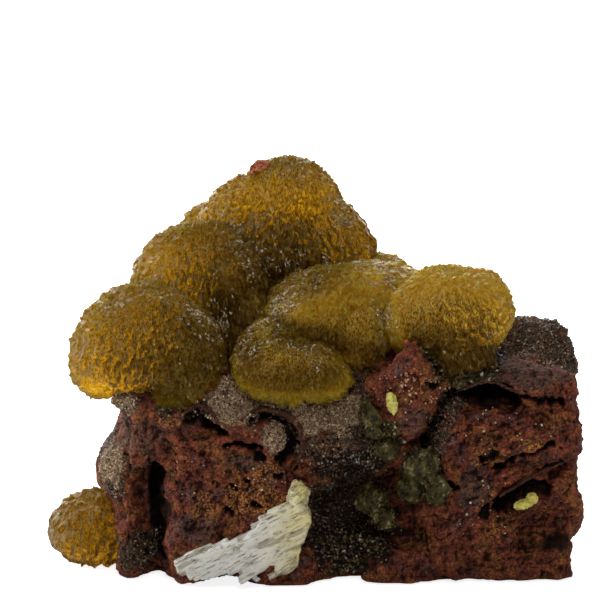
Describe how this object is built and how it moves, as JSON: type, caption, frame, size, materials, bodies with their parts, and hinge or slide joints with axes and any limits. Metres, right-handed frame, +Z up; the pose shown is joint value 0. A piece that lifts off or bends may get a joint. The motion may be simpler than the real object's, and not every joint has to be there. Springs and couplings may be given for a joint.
{
  "type": "austinite mineral specimen",
  "caption": "Drusy honey-gold mineral domes grown on a rusty iron-oxide rock with calcite and green druse, resting on a flat base.",
  "frame": {"origin": "a point on the flat resting face of the rock, under the middle of the dome cluster", "axes": "+X to the right along the rock's length as seen in the picture, +Y from its front to its back, +Z up"},
  "size_m": [0.0321, 0.0196, 0.024],
  "materials": {
    "matrix": "matte",
    "austinite_domes": "gloss",
    "corner_dome": "gloss",
    "calcite": "satin",
    "green_druse_main": "satin",
    "green_druse_upper": "satin",
    "green_druse_low": "satin",
    "yellow_grain_long": "matte",
    "yellow_grain_pair": "matte",
    "red_chip": "matte"
  },
  "bodies": {
    "root": {"matrix": "matrix", "austinite_domes": "austinite_domes", "corner_dome": "corner_dome", "calcite": "calcite", "green_druse_main": "green_druse_main", "green_druse_upper": "green_druse_upper", "green_druse_low": "green_druse_low", "yellow_grain_long": "yellow_grain_long", "yellow_grain_pair": "yellow_grain_pair", "red_chip": "red_chip"}
  },
  "joints": []
}
